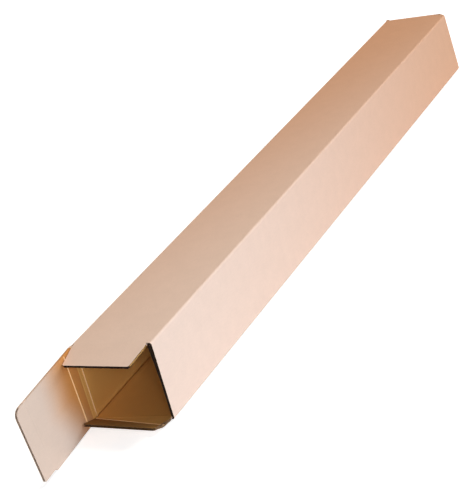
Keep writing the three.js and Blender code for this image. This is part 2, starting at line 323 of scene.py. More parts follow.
def rows_of(points, pitch, columns, inset=0.0):
    """Rows of points across an outline, one every pitch and one at each corner."""
    low = min(p.y for p in points)
    high = max(p.y for p in points)
    count = max(2, round((high - low) / pitch))
    ys = {round(low + (high - low) * i / count, 4) for i in range(count + 1)}
    ys |= {round(p.y, 4) for p in points}
    ys = sorted(ys)
    ys = [a for a, b in zip(ys, ys[1:]) if b - a > NEAREST_ROWS] + [ys[-1]]
    rows = []
    for y in ys:
        start, end = span(points, min(max(y, low + WITHIN_OUTLINE), high - WITHIN_OUTLINE))
        start, end = start + inset, max(start + 2 * inset, end - inset)
        rows.append([(start + (end - start) * i / columns, y) for i in range(columns + 1)])
    return rows


def flute(y):
    """Height of the medium's middle above the board's middle."""
    rise = HALF_BOARD - LINER - MEDIUM / 2
    return rise * math.sin(math.tau * y / FLUTE_PITCH)


def under_flutes(x, y):
    return flute(y) - MEDIUM / 2


def over_flutes(x, y):
    return flute(y) + MEDIUM / 2


# Places of the papers in each piece's list of materials
# The fifth place is the beads' lighter paper: partly scuffed, partly a painted highlight.
# The sixth place is the bent flap's darker liner: painted shade.
OUTSIDE, INSIDE, FLUTES, EDGE, SCUFFED_AND_HIGHLIGHT, BENT_PAINTED_SHADE = range(6)


def pressed_edge(stack, a, b, finish):
    """Where the die cuts along the flutes it presses the two liners together."""
    along = (b - a).normalized()
    side = Vector((-along.y, along.x)) * PRESSED_DEPTH
    loop = list(PRESSED_PROFILE)
    loop += [(depth, -height) for depth, height in reversed(loop)]
    sections = [[(*(a.lerp(b, i / EDGE_STEPS) + side * depth), height)
                 for depth, height in loop] for i in range(EDGE_STEPS + 1)]
    stack.loft(sections, finish)


def board(stack, points, columns=8, side_finish=INSIDE):
    """Two liners and the medium between them, with flutes along x."""
    turns = sum((b - a).cross(c - b) for a, b, c in
                zip(points, points[1:] + points[:1], points[2:] + points[:2]))
    for a, b in zip(points, points[1:] + points[:1]):
        run = b - a if turns > 0 else a - b
        if abs(run.x) > PRESSED_FROM and abs(run.y) < PRESSED_LEAN * abs(run.x):
            ends = (a, b) if turns > 0 else (b, a)
            pressed_edge(stack, *ends, side_finish)
    face_rows = rows_of(points, FACE_PITCH, columns)
    stack.slab(face_rows, HALF_BOARD - LINER, HALF_BOARD, OUTSIDE, EDGE, "under")
    stack.slab(face_rows, -HALF_BOARD, -HALF_BOARD + LINER, INSIDE, EDGE, "over")
    wave_rows = rows_of(points, FLUTE_PITCH / FLUTE_STEPS, columns, FLUTE_INSET)
    stack.slab(wave_rows, under_flutes, over_flutes, FLUTES)


def smooth(t):
    """A smooth step from 0 to 1."""
    t = min(max(t, 0.0), 1.0)
    return t * t * (3 - 2 * t)


def tucked(x, z, turn):
    """Keeps a point of a folded strip behind the outer faces of both panels."""
    z = min(z, HALF_BOARD)
    over = x * math.sin(turn) + z * math.cos(turn) - HALF_BOARD
    if over > 0:
        x, z = x - over * math.sin(turn), z - over * math.cos(turn)
    return x, z


def crease(stack, start, end, angle, bead=BEAD_HEIGHT, groove=GROOVE_DEPTH, slant=0.0):
    """The pressed strip of board that joins two panels, bent by an angle about its fold."""
    outer, inner = [], []
    for i in range(CREASE_STEPS + 1):
        x = CREASE_REACH * (2 * i / CREASE_STEPS - 1)
        press = math.cos(math.pi * x / (2 * CREASE_REACH)) ** CREASE_SHARPNESS
        outer.append((x, HALF_BOARD - groove * press))
        inner.append((x, -HALF_BOARD - bead * press))
    loop = outer + inner[::-1]
    bent = []
    for x, z in loop:
        turn = math.radians(angle) * smooth((x + CREASE_REACH) / (2 * CREASE_REACH))
        bent.append(tucked(x * math.cos(turn) + z * math.sin(turn),
                           z * math.cos(turn) - x * math.sin(turn), math.radians(angle)))
    steps = max(1, round((end - start) / CREASE_PITCH))
    sections = []
    for i in range(steps + 1):
        y = start + (end - start) * i / steps
        sections.append([(x, y + slant * x, z) for x, z in bent])
    before = len(stack.finishes)
    stack.loft(sections, OUTSIDE)
    m = len(loop)
    for k in range(before, before + m * steps):
        if (k - before) % m > CREASE_STEPS:
            stack.finishes[k] = INSIDE


def ridge(stack, start, end, width, height):
    """A bead pressed up out of the inner face, along a line from start to end."""
    a, b = Vector(start), Vector(end)
    side = Vector((-(b - a).y, (b - a).x)).normalized()
    sections = []
    for t in range(RIDGE_STEPS + 1):
        centre = a.lerp(b, t / RIDGE_STEPS)
        loop = []
        for i in range(RIDGE_STEPS + 1):
            s = 2 * i / RIDGE_STEPS - 1
            p = centre + side * (s * width / 2)
            loop.append((p.x, p.y, -HALF_BOARD - height * math.cos(math.pi * s / 2) ** 2))
        p, q = centre + side * (width / 2), centre - side * (width / 2)
        loop += [(p.x, p.y, -HALF_BOARD + LINER / 2), (q.x, q.y, -HALF_BOARD + LINER / 2)]
        sections.append(loop)
    # The bead takes the lighter paper: partly scuffed, partly a painted highlight.
    stack.loft(sections, SCUFFED_AND_HIGHLIGHT)


# Materials


class Tree:
    """Adds nodes to a material or a group and links them."""

    def __init__(self, tree):
        self.tree = tree

    def node(self, kind, **values):
        made = self.tree.nodes.new(kind)
        for key, value in values.items():
            setattr(made, key, value)
        return made

    def link(self, source, target):
        self.tree.links.new(source, target)

    def math(self, operation, a, b=None):
        made = self.node("ShaderNodeMath", operation=operation)
        self.feed(a, made.inputs[0])
        if b is not None:
            self.feed(b, made.inputs[1])
        return made.outputs[0]

    def feed(self, value, target):
        if isinstance(value, bpy.types.NodeSocket):
            self.link(value, target)
        else:
            target.default_value = value

    def mix(self, amount, a, b):
        """Mixes two colours, which a Mix node has at its inputs 6 and 7 and its output 2."""
        made = self.node("ShaderNodeMix", data_type="RGBA")
        self.feed(amount, made.inputs["Factor"])
        self.feed(a, made.inputs[6])
        self.feed(b, made.inputs[7])
        return made.outputs[2]


def group(name, inputs, outputs):
    """An empty node group with named sockets: (name, kind, default) and (name, kind)."""
    made = bpy.data.node_groups.new(name, "ShaderNodeTree")
    for label, kind, default in inputs:
        socket = made.interface.new_socket(label, in_out="INPUT", socket_type=kind)
        if default is not None:
            socket.default_value = default
    for label, kind in outputs:
        made.interface.new_socket(label, in_out="OUTPUT", socket_type=kind)
    tree = Tree(made)
    return made, tree, tree.node("NodeGroupInput"), tree.node("NodeGroupOutput")


FLOAT, COLOUR, VECTOR = "NodeSocketFloat", "NodeSocketColor", "NodeSocketVector"

PAPER_ROUGHNESS = 0.85
PAPER_GLOSS = 0.25
CLOUD_SCALE = 55
CLOUD_DETAIL = 5
CLOUD_STRENGTH = 0.08
FIBRE_SCALE = 900
FIBRE_DETAIL = 3
FIBRE_STRETCH = (0.25, 1, 1)
FIBRE_STRENGTH = 0.10
FIBRE_BUMP = 0.25
# Heights in metres
FIBRE_HEIGHT = 0.00012
RIB_HEIGHT = 0.00001


def kraft_fibre_group():
    """Cloudy pulp and short fibres that run along the tube."""
    made, tree, given, out = group(
        "kraft_fibre",
        [("Position", VECTOR, None), ("Colour", COLOUR, (0.6, 0.4, 0.25, 1)),
         ("Cloud Strength", FLOAT, CLOUD_STRENGTH), ("Fibre Strength", FLOAT, FIBRE_STRENGTH)],
        [("Colour", COLOUR), ("Height", FLOAT)],
    )
    cloud = tree.node("ShaderNodeTexNoise")
    cloud.inputs["Scale"].default_value = CLOUD_SCALE
    cloud.inputs["Detail"].default_value = CLOUD_DETAIL
    tree.link(given.outputs["Position"], cloud.inputs["Vector"])
    stretch = tree.node("ShaderNodeMapping")
    stretch.inputs["Scale"].default_value = FIBRE_STRETCH
    tree.link(given.outputs["Position"], stretch.inputs["Vector"])
    fibre = tree.node("ShaderNodeTexNoise")
    fibre.inputs["Scale"].default_value = FIBRE_SCALE
    fibre.inputs["Detail"].default_value = FIBRE_DETAIL
    tree.link(stretch.outputs[0], fibre.inputs["Vector"])
    cloud_tone = tree.math("MULTIPLY", tree.math("SUBTRACT", cloud.outputs["Fac"], 0.5),
                           given.outputs["Cloud Strength"])
    fibre_tone = tree.math("MULTIPLY", tree.math("SUBTRACT", fibre.outputs["Fac"], 0.5),
                           given.outputs["Fibre Strength"])
    tone = tree.math("ADD", tree.math("ADD", cloud_tone, fibre_tone), 1.0)
    scaled = tree.node("ShaderNodeVectorMath", operation="SCALE")
    tree.link(given.outputs["Colour"], scaled.inputs[0])
    tree.link(tone, scaled.inputs["Scale"])
    tree.link(scaled.outputs[0], out.inputs["Colour"])
    tree.link(fibre.outputs["Fac"], out.inputs["Height"])
    return made


def flute_ribs_group():
    """Faint ribs where a liner is stuck to the flutes under it."""
    made, tree, given, out = group(
        "flute_ribs",
        [("Position", VECTOR, None), ("Pitch", FLOAT, FLUTE_PITCH * METRE)],
        [("Height", FLOAT)],
    )
    parts = tree.node("ShaderNodeSeparateXYZ")
    tree.link(given.outputs["Position"], parts.inputs[0])
    across = tree.math("ADD", parts.outputs["Y"], parts.outputs["Z"])
    turns = tree.math("DIVIDE", across, given.outputs["Pitch"])
    wave = tree.math("SINE", tree.math("MULTIPLY", turns, math.tau))
    tree.link(wave, out.inputs["Height"])
    return made


def tone_and_painted_light_group():
    """Kraft paper that turns from a tan tone to a pale tone along the tube, partly the paper's
    own tone and partly painted light and shade.

    Where it turns also moves with the distance across the tube, and with the height up to
    a level; these shifts are painted shade.
    """
    made, tree, given, out = group(
        "paper_tone_and_painted_light",
        [("Position", VECTOR, None), ("Tan", COLOUR, (0.7, 0.45, 0.28, 1)),
         ("Pale", COLOUR, (0.8, 0.6, 0.45, 1)), ("Tan At", FLOAT, -0.6),
         ("Pale At", FLOAT, 0.6), ("Across", FLOAT, 0.0), ("Slant", FLOAT, 0.0),
         ("Level", FLOAT, 0.05)],
        [("Colour", COLOUR)],
    )
    parts = tree.node("ShaderNodeSeparateXYZ")
    tree.link(given.outputs["Position"], parts.inputs[0])
    height = tree.math("MINIMUM", parts.outputs["Z"], given.outputs["Level"])
    lifted = tree.math("MULTIPLY", height, given.outputs["Slant"])
    across = tree.math("MULTIPLY", parts.outputs["Y"], given.outputs["Across"])
    place = tree.math("ADD", tree.math("SUBTRACT", parts.outputs["X"], lifted), across)
    along = tree.node("ShaderNodeMapRange", interpolation_type="SMOOTHSTEP")
    tree.link(place, along.inputs["Value"])
    tree.link(given.outputs["Tan At"], along.inputs["From Min"])
    tree.link(given.outputs["Pale At"], along.inputs["From Max"])
    tone = tree.mix(along.outputs[0], given.outputs["Tan"], given.outputs["Pale"])
    tree.link(tone, out.inputs["Colour"])
    return made


KRAFT_FIBRE = kraft_fibre_group()
FLUTE_RIBS = flute_ribs_group()
TONE_AND_PAINTED_LIGHT = tone_and_painted_light_group()


def paper(name, tan, pale, turn=(-0.8, 0.65), across=0.0, slant=0.0):
    """Matt kraft paper: tone along the tube, partly painted light and shade, fibres, and the
    flutes' faint ribs.

    The turn is where along the tube the paper is all tan and where it is all pale, in metres.
    """
    material = bpy.data.materials.new(name)
    material.use_nodes = True
    tree = Tree(material.node_tree)
    shader = material.node_tree.nodes["Principled BSDF"]
    shader.inputs["Roughness"].default_value = PAPER_ROUGHNESS
    shader.inputs["Specular IOR Level"].default_value = PAPER_GLOSS
    place = tree.node("ShaderNodeTexCoord").outputs["Object"]

    tone = tree.node("ShaderNodeGroup", node_tree=TONE_AND_PAINTED_LIGHT)
    tone.inputs["Tan"].default_value = (*tan, 1)
    tone.inputs["Pale"].default_value = (*pale, 1)
    tone.inputs["Tan At"].default_value = turn[0]
    tone.inputs["Pale At"].default_value = turn[1]
    tone.inputs["Across"].default_value = across
    tone.inputs["Slant"].default_value = slant
    tree.link(place, tone.inputs["Position"])
    pulp = tree.node("ShaderNodeGroup", node_tree=KRAFT_FIBRE)
    pulp.inputs["Cloud Strength"].default_value = CLOUD_STRENGTH
    pulp.inputs["Fibre Strength"].default_value = FIBRE_STRENGTH
    tree.link(place, pulp.inputs["Position"])
    tree.link(tone.outputs["Colour"], pulp.inputs["Colour"])
    tree.link(pulp.outputs["Colour"], shader.inputs["Base Color"])

    fibre_bump = tree.node("ShaderNodeBump")
    fibre_bump.inputs["Strength"].default_value = FIBRE_BUMP
    fibre_bump.inputs["Distance"].default_value = FIBRE_HEIGHT
    tree.link(pulp.outputs["Height"], fibre_bump.inputs["Height"])
    rib = tree.node("ShaderNodeGroup", node_tree=FLUTE_RIBS)
    tree.link(place, rib.inputs["Position"])
    rib_bump = tree.node("ShaderNodeBump")
    rib_bump.inputs["Strength"].default_value = 1.0
    rib_bump.inputs["Distance"].default_value = RIB_HEIGHT
    tree.link(rib.outputs["Height"], rib_bump.inputs["Height"])
    tree.link(fibre_bump.outputs[0], rib_bump.inputs["Normal"])
    tree.link(rib_bump.outputs[0], shader.inputs["Normal"])
    return material


def plain_paper(name, tone):
    """Matt kraft paper of one tone."""
    return paper(name, tone, tone)


# The outer liner's kraft tone, painted paler towards the mouth as painted light and more tan
# towards the far end and the back as painted shade.
OUTER_LINER_PAINTED_LIGHT = paper("outer_liner_kraft_painted_light", (0.61, 0.32, 0.18), (0.80, 0.60, 0.485),
                    turn=(-0.68, 0.78), across=2.4)
# The inner liner's kraft tone, painted darker deeper inside the tube and towards the front wall:
# painted shade.
INNER_LINER_PAINTED_SHADE = paper("inner_liner_kraft_painted_shade", (0.42, 0.215, 0.055), (0.74, 0.38, 0.105),
                    turn=(-0.2, 1.3), across=-10.0)
# The lid's inner face, painted darker and more orange near its crease and further out towards
# the top: painted shade over the paper's own tone.
LID_LINER_PAINTED_SHADE = paper("lid_liner_kraft_painted_shade", (0.59, 0.24, 0.06), (0.68, 0.51, 0.40),
                  turn=(0.5358, 0.6108), slant=0.67)
# The medium and the cut edges are painted near black, much darker than kraft: painted shade in
# the flutes and on the edges.
FLUTED_MEDIUM_PAINTED_SHADE = plain_paper("fluted_medium_painted_shade", (0.03, 0.015, 0.008))
CUT_EDGE_PAINTED_SHADE = plain_paper("cut_edge_painted_shade", (0.018, 0.009, 0.005))
# The bottom flap's liner beyond its bend and its edges are painted darker: painted shade.
BENT_LINER_PAINTED_SHADE = plain_paper("bent_flap_liner_painted_shade", (0.32, 0.155, 0.036))
BENT_EDGE_PAINTED_SHADE = plain_paper("bent_flap_edge_painted_shade", (0.16, 0.085, 0.035))
LID_MEDIUM = plain_paper("lid_medium_kraft", (0.50, 0.38, 0.30))
LID_EDGE = plain_paper("lid_cut_edge_kraft", (0.68, 0.54, 0.44))
# The beads are a lighter paper: partly scuffed fibres at the fold, partly a painted highlight.
SCUFFED_FOLD_AND_HIGHLIGHT = plain_paper("scuffed_fold_and_highlight_kraft", (0.84, 0.52, 0.25))
BOARD_PAPERS = (OUTER_LINER_PAINTED_LIGHT, INNER_LINER_PAINTED_SHADE, FLUTED_MEDIUM_PAINTED_SHADE, CUT_EDGE_PAINTED_SHADE, SCUFFED_FOLD_AND_HIGHLIGHT)
LID_PAPERS = (OUTER_LINER_PAINTED_LIGHT, LID_LINER_PAINTED_SHADE, LID_MEDIUM, LID_EDGE, SCUFFED_FOLD_AND_HIGHLIGHT)
BENT_FLAP_PAPERS = (OUTER_LINER_PAINTED_LIGHT, INNER_LINER_PAINTED_SHADE, BENT_EDGE_PAINTED_SHADE, BENT_EDGE_PAINTED_SHADE, SCUFFED_FOLD_AND_HIGHLIGHT, BENT_LINER_PAINTED_SHADE)


# Sleeve


def knocked(point):
    """The knocked corner: beyond a line across it the board is pushed into the tube."""
    x, y, z = point
    beyond = 1 + (y - FRONT) / KNOCK_WIDTH + (z - TUBE_HEIGHT) / KNOCK_HEIGHT
    if beyond <= 0:
        return point
    fade = 1 - min(max((x + MOUTH) / KNOCK_REACH, 0), 1)
    return Vector((x + KNOCK_DEPTH * beyond * fade, y, z))


# Where the flaps' slots begin and end across the tube: all of them at the back, then the
# lower, the upper and the far ones at the front
SLOT_ENDS = (
    BACK + FLAP_FROM - FIT_GAP,
    BACK + FLAP_TO + FIT_GAP,
    BACK + TOP_FLAP_TO + FIT_GAP,
    BACK + END_FLAP_TO + FIT_GAP,
)
# Half the width across which the edge of a wall steps back into a slot
SLOT_STEP_HALF = 0.01

WALL_COLUMNS = 6
CORNER_STEPS = 6
# How far from a corner's arc a wall has the columns that carry the beads
COLUMNS_NEAR_CORNER = (1.5, 2.1, 2.8, 4.0, 5.5, 7.0, 9.0)


def wall_side(a, b, stops=()):
    """Points (y, z) along one wall, from a to b, with more of them near both corners."""
    length = abs(b[0] - a[0]) + abs(b[1] - a[1])
    ts = {i / WALL_COLUMNS for i in range(WALL_COLUMNS + 1)} | set(stops)
    for distance in COLUMNS_NEAR_CORNER:
        ts |= {distance / length, 1 - distance / length}
    return [(a[0] + (b[0] - a[0]) * t, a[1] + (b[1] - a[1]) * t) for t in sorted(ts)]


def wall_corner(y, z, start):
    """Points of a folded corner's arc about (y, z), between its two walls."""
    turns = [start + math.pi / (2 * CORNER_STEPS) * i for i in range(1, CORNER_STEPS)]
    return [(y + CORNER_RADIUS * math.cos(turn), z + CORNER_RADIUS * math.sin(turn))
            for turn in turns]


def wall_loop():
    """A loop (y, z) around the four walls, with a step at each end of a flap's slot."""
    r = CORNER_RADIUS
    low, high = r, TUBE_HEIGHT - r
    left, right = BACK + r, FRONT - r
    width = right - left

    def at(y):
        return (y - left) / width

    stops = []
    for y in SLOT_ENDS:
        stops += [at(y - SLOT_STEP_HALF), at(y + SLOT_STEP_HALF)]
    loop = wall_side((left, 0), (right, 0), stops)
    loop += wall_corner(right, low, -math.pi / 2)
    loop += wall_side((FRONT, low), (FRONT, high))
    loop += wall_corner(right, high, 0)
    loop += wall_side((right, TUBE_HEIGHT), (left, TUBE_HEIGHT), [1 - s for s in stops])
    loop += wall_corner(left, high, math.pi / 2)
    loop += wall_side((BACK, high), (BACK, low))
    loop += wall_corner(left, low, math.pi)
    return loop


# The valley that a fold presses into the inner liner of a corner
VALLEY_WIDTH = 1.2
VALLEY_DEPTH = 1.5
ON_WALL = 1e-6


def shrink(point, depth):
    """A point (y, z) of the outer face, moved into the board by a depth.

    In the inner half of the board a corner is square, with the valley that its fold pressed.
    """
    y, z = point
    r = CORNER_RADIUS
    cy = min(max(y, BACK + r), FRONT - r)
    cz = min(max(z, r), TUBE_HEIGHT - r)
    away = Vector((y - cy, z - cz))
    if depth < HALF_BOARD:
        away *= (r - depth) / r
        return cy + away.x, cz + away.y
    inner_y = min(max(y, BACK + depth), FRONT - depth)
    inner_z = min(max(z, depth), TUBE_HEIGHT - depth)
    outer_y, outer_z = math.copysign(1, y), math.copysign(1, z - TUBE_HEIGHT / 2)
    clear = depth + VALLEY_WIDTH
    if abs(away.y) < ON_WALL:
        return inner_y, min(max(inner_z, clear), TUBE_HEIGHT - clear)
    if abs(away.x) < ON_WALL:
        return min(max(inner_y, BACK + clear), FRONT - clear), inner_z
    turn = 4 / math.pi * math.atan2(abs(away.y), abs(away.x)) - 1
    dip = VALLEY_DEPTH * (1 - abs(turn))
    inner_y += outer_y * (dip - VALLEY_WIDTH * max(turn, 0))
    inner_z += outer_z * (dip - VALLEY_WIDTH * max(-turn, 0))
    return inner_y, inner_z


def sleeve_reach(y, z):
    """Where a column of a wall ends at the mouth and at the closed end."""
    back, front, top_front, end_front = SLOT_ENDS
    mouth, end = MOUTH, -MOUTH
    if y < BACK + BOARD:
        mouth = LID_CREASE_X - CREASE_REACH
        end = -mouth
    elif z < BOARD or z > TUBE_HEIGHT - BOARD:
        if back < y < (front if z < BOARD else top_front):
            mouth = FLAP_CREASE_X - CREASE_REACH
        if back < y < end_front:
            end = -(FLAP_CREASE_X - CREASE_REACH)
    return mouth, end


# Where the walls have a ring of points along the tube. The first and the last are the two
# ends, and the second and the last but one lie a margin inside the dust flaps' creases.
STATIONS = (0.0, 0.004, 0.012, 0.025, 0.05, 0.08, 0.12, 0.2, 0.3, 0.4, 0.5, 0.6, 0.7, 0.8,
            0.9, 0.96, 1.0)
STATION_MARGIN = 6.0
STATION_REACH = FLAP_CREASE_X - CREASE_REACH - STATION_MARGIN


def station_x(t, mouth, end):
    """Where along the tube a ring has its point, in a column that has these two ends."""
    if t == STATIONS[0]:
        return end
    if t == STATIONS[-1]:
        return mouth
    first, last = STATIONS[1], STATIONS[-2]
    return STATION_REACH * (2 * (t - first) / (last - first) - 1)


# The beads of inner liner beside the folded corners
FLOOR_BEAD_HEIGHT = 0.35
SIDE_BEAD_HEIGHT = 1.2
BEAD_FOOT = 2.2
BEAD_CREST = 2.8
BEAD_TAIL = 5.0
NEAR_WALL = 0.5


def corner_bead(distance, height):
    """How far the inner liner stands off near a folded corner."""
    rise = smooth(distance / BEAD_FOOT)
    fall = 1 - smooth((distance - BEAD_CREST) / BEAD_TAIL)
    return height * rise * fall


def beaded(point, depth):
    """A point of the outer face, moved in to the inner liner and off it where a bead is."""
    y, z = shrink(point, depth)
    near_back, near_front = y - (BACK + BOARD), FRONT - BOARD - y
    near_floor, near_top = z - BOARD, TUBE_HEIGHT - BOARD - z
    if near_floor < NEAR_WALL or near_top < NEAR_WALL:
        lift = corner_bead(min(near_back, near_front), FLOOR_BEAD_HEIGHT)
        z += lift if near_floor < near_top else -lift
    if near_back < NEAR_WALL or near_front < NEAR_WALL:
        lift = corner_bead(min(near_floor, near_top), SIDE_BEAD_HEIGHT)
        y += lift if near_back < near_front else -lift
    return y, z


def skin(depth_outer, depth_inner, finish, stack, beads=False):
    """One liner of all four walls, as a closed ring along the tube.

    The beads fade out towards both ends, where the flaps fold in.
    """
    loop = wall_loop()
    m = len(loop)
    points, faces = [], []
    for t in STATIONS:
        push = beaded if beads and 0 < t < 1 else shrink
        for depth in (depth_outer, depth_inner):
            for p in loop:
                x = station_x(t, *sleeve_reach(*p))
                points.append(knocked(Vector((x, *push(p, depth)))))
    n = len(STATIONS)
    for s in range(n - 1):
        for k in (0, 1):
            for i in range(m):
                j = (i + 1) % m
                a, b = (2 * s + k) * m, (2 * (s + 1) + k) * m
                faces.append((a + i, a + j, b + j, b + i))
    for s in (0, n - 1):
        for i in range(m):
            j = (i + 1) % m
            a, b = 2 * s * m, (2 * s + 1) * m
            faces.append((a + i, a + j, b + j, b + i))
    stack.add(points, faces, finish)
    stack.finishes[-2 * m:] = [EDGE] * (2 * m)
    buried = 0 if beads else 1
    first = len(stack.finishes) - len(faces)
    for s in range(n - 1):
        ring = first + (2 * s + buried) * m
        stack.finishes[ring:ring + m] = [FLUTES] * m


MEDIUM_COLUMNS = 12
# How far the medium of a wall stops short of its corners and of the closed end
MEDIUM_MARGIN = 3.4
MEDIUM_STOP = 12.0


def wall_medium(stack, fold, width, near):
    """The fluted medium of a wall of this width, from near its fold to the closed end."""
    start, end = MEDIUM_MARGIN, width - MEDIUM_MARGIN
    near, far = near - FLUTE_INSET, MEDIUM_STOP - TUBE_LENGTH
    steps = round((end - start) / (FLUTE_PITCH / FLUTE_STEPS))
    rows = []
    for i in range(steps + 1):
        y = start + (end - start) * i / steps
        rows.append([(near + (far - near) * c / MEDIUM_COLUMNS, y)
                     for c in range(MEDIUM_COLUMNS + 1)])
    wall = Stack(fold.matrix)
    wall.slab(rows, under_flutes, over_flutes, FLUTES)
    stack.add([knocked(p / METRE) for p in wall.points], wall.faces, FLUTES)


FRONT_WALL_EDGE = Fold((MOUTH, FRONT - HALF_BOARD, 0), (1, 0, 0), (0, 0, 1))


def make_sleeve():
    walls = Stack()
    skin(0.0, LINER, OUTSIDE, walls)
    skin(BOARD - LINER, BOARD, INSIDE, walls, beads=True)
    for fold, width, near in (
        (MOUTH_TOP_FOLD, TUBE_WIDTH, -CREASE_REACH),
        (MOUTH_BOTTOM_FOLD, TUBE_WIDTH, -CREASE_REACH),
        (MOUTH_LID_FOLD, TUBE_HEIGHT, -CREASE_REACH),
        (FRONT_WALL_EDGE, TUBE_HEIGHT, 0.0),
    ):
        wall_medium(walls, fold, width, near)
    return walls.piece("sleeve_walls", BOARD_PAPERS)


def make_seam_tab():
    place = Fold((MOUTH - SEAM_TAB_MOUTH_SETBACK, FRONT - BOARD - HALF_BOARD - GLUE, 0),
                 (-1, 0, 0), (0, 0, 1))
    length = TUBE_LENGTH - SEAM_TAB_MOUTH_SETBACK - SEAM_TAB_FAR_SETBACK
    tab = Stack(place.matrix)
    low = TOP_Z - SEAM_TAB_WIDTH
    high = TUBE_HEIGHT - BOARD - SIDE_GAP
    board(tab, outline([(SEAM_TAB_SLANT, low), (length - SEAM_TAB_SLANT, low),
                        (length, high), (0, high)]), columns=12, side_finish=EDGE)
    return tab.piece("seam_tab", BOARD_PAPERS)


def make_wall_ridge():
    """The lid's first score line, pressed into the back wall a little inside the mouth."""
    line = Stack(MOUTH_LID_FOLD.matrix)
    foot, top = -WALL_RIDGE_INSIDE, -WALL_RIDGE_INSIDE - WALL_RIDGE_LEAN
    ridge(line, (foot, BOARD), (top, TUBE_HEIGHT - BOARD), WALL_RIDGE_WIDTH, WALL_RIDGE_HEIGHT)
    return line.piece("wall_score_ridge", BOARD_PAPERS)


# Flaps and lids


def turned_over(corners):
    """The corners of a flap on the fold that runs the other way across the tube."""
    return [(c[0], TUBE_WIDTH - c[1], *c[2:]) for c in reversed(corners)]


def dust_flap_corners(length, skew, to, shoulder, taper):
    """Corners of a dust flap: longer by the skew at the side that tapers past a shoulder."""
    return [
        (CREASE_REACH, FLAP_FROM),
        (length, FLAP_FROM + FLAP_LEAN, FLAP_ROUND),
        (length + skew, to - taper, FLAP_ROUND),
        (shoulder, to),
        (CREASE_REACH, to),
    ]


def make_crease(name, fold, start, end, angle):
    """A crease strip between two panels, bent by a fixed angle about its fold."""
    strip = Stack(fold.matrix)
    crease(strip, start, end, angle)
    piece = strip.piece(name, BOARD_PAPERS, sharp=CREASE_SHARP)
    after = fold.turned(angle) @ Vector((CREASE_REACH, (start + end) / 2, 0)) * METRE
    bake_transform(piece)


def make_top_flap():
    flap = Stack(MOUTH_TOP_FOLD.turned(TOP_FLAP_DROOP))
    board(flap, outline(dust_flap_corners(**TOP_FLAP)))
    return flap.piece("mouth_top_flap_board", BOARD_PAPERS)


HAND_BEND_TURN = math.atan2(HAND_BEND_FRONT - HAND_BEND_BACK, FLAP_TO - FLAP_FROM)
HAND_BEND_AWAY = Vector((math.cos(HAND_BEND_TURN), math.sin(HAND_BEND_TURN)))


def past_bend(x, y):
    """How far a point of the flat bottom flap lies beyond the line that it is bent at."""
    return (Vector((x, y)) - Vector((HAND_BEND_FRONT, FLAP_FROM))).dot(HAND_BEND_AWAY)


def hand_bent(point):
    """Bends the bottom flap up beyond a line that runs skew to its crease."""
    x, y, z = point
    beyond = past_bend(x, y)
    if beyond <= -HAND_BEND_HALF:
        return point
    bend = math.radians(HAND_BEND)
    radius = 2 * HAND_BEND_HALF / bend
    angle = min(beyond + HAND_BEND_HALF, 2 * HAND_BEND_HALF) / radius
    extra = max(beyond - HAND_BEND_HALF, 0)
    along = -HAND_BEND_HALF + radius * math.sin(angle) + extra * math.cos(angle)
    rise = radius * (1 - math.cos(angle)) + extra * math.sin(angle)
    shift = HAND_BEND_AWAY * (along - beyond + z * math.sin(angle))
    return Vector((x + shift.x, y + shift.y, z * math.cos(angle) - rise))


def make_bottom_flap():
    flat = Stack()
    corners = turned_over(dust_flap_corners(**BOTTOM_FLAP))
    board(flat, outline(corners), columns=24, side_finish=EDGE)
    # Inner faces beyond the bend take the darker liner: painted shade.
    for i, face in enumerate(flat.faces):
        middle = sum((flat.points[k] for k in face), Vector()) / len(face) / METRE
        if flat.finishes[i] == INSIDE and past_bend(middle.x, middle.y) > 0:
            flat.finishes[i] = BENT_PAINTED_SHADE
    ridge(flat, (HAND_BEND_FRONT, FLAP_FROM + RIDGE_MARGIN),
          (HAND_BEND_BACK + BEND_BEAD_SHIFT, FLAP_TO - RIDGE_MARGIN),
          BEND_BEAD_WIDTH, BEND_BEAD_HEIGHT)
    flap = Stack(MOUTH_BOTTOM_FOLD.matrix)
    flap.finishes, flap.faces = flat.finishes, flat.faces
    flap.points = [flap.place @ hand_bent(p / METRE) * METRE for p in flat.points]
    return flap.piece("mouth_bottom_flap_board", BENT_FLAP_PAPERS)


# The tongue's crease leans over by its slant, so it is longer than the lid is high
TONGUE_SLOPE = math.tan(math.radians(TONGUE_SLANT))
TONGUE_STRETCH = 1 / math.cos(math.radians(TONGUE_SLANT))
TONGUE_FOOT = LID_FOOT + TONGUE_NOTCH


def lid_frame():
    return MOUTH_LID_FOLD.turned(LID_LEAN)


def tongue_frame():
    return (lid_frame() @ Matrix.Translation((LID_PANEL, 0, 0))
            @ Matrix.Rotation(-math.radians(TONGUE_SLANT), 4, "Z"))


def make_mouth_lid():
    lid = Stack(lid_frame())
    reach = LID_PANEL - CREASE_REACH * TONGUE_STRETCH
    board(lid, outline([
        (CREASE_REACH, LID_FOOT),
        (reach - TONGUE_NOTCH, LID_FOOT),
        (reach + TONGUE_FOOT * TONGUE_SLOPE, TONGUE_FOOT),
        (reach + TUBE_HEIGHT * TONGUE_SLOPE, TUBE_HEIGHT),
        (CREASE_REACH, TUBE_HEIGHT),
    ]), columns=16)
    ridge(lid, (RIDGE_AT_FOOT, LID_FOOT + RIDGE_MARGIN),
          (RIDGE_AT_TOP, TUBE_HEIGHT - RIDGE_MARGIN), RIDGE_WIDTH, RIDGE_HEIGHT)
    return lid.piece("mouth_lid_board", LID_PAPERS)


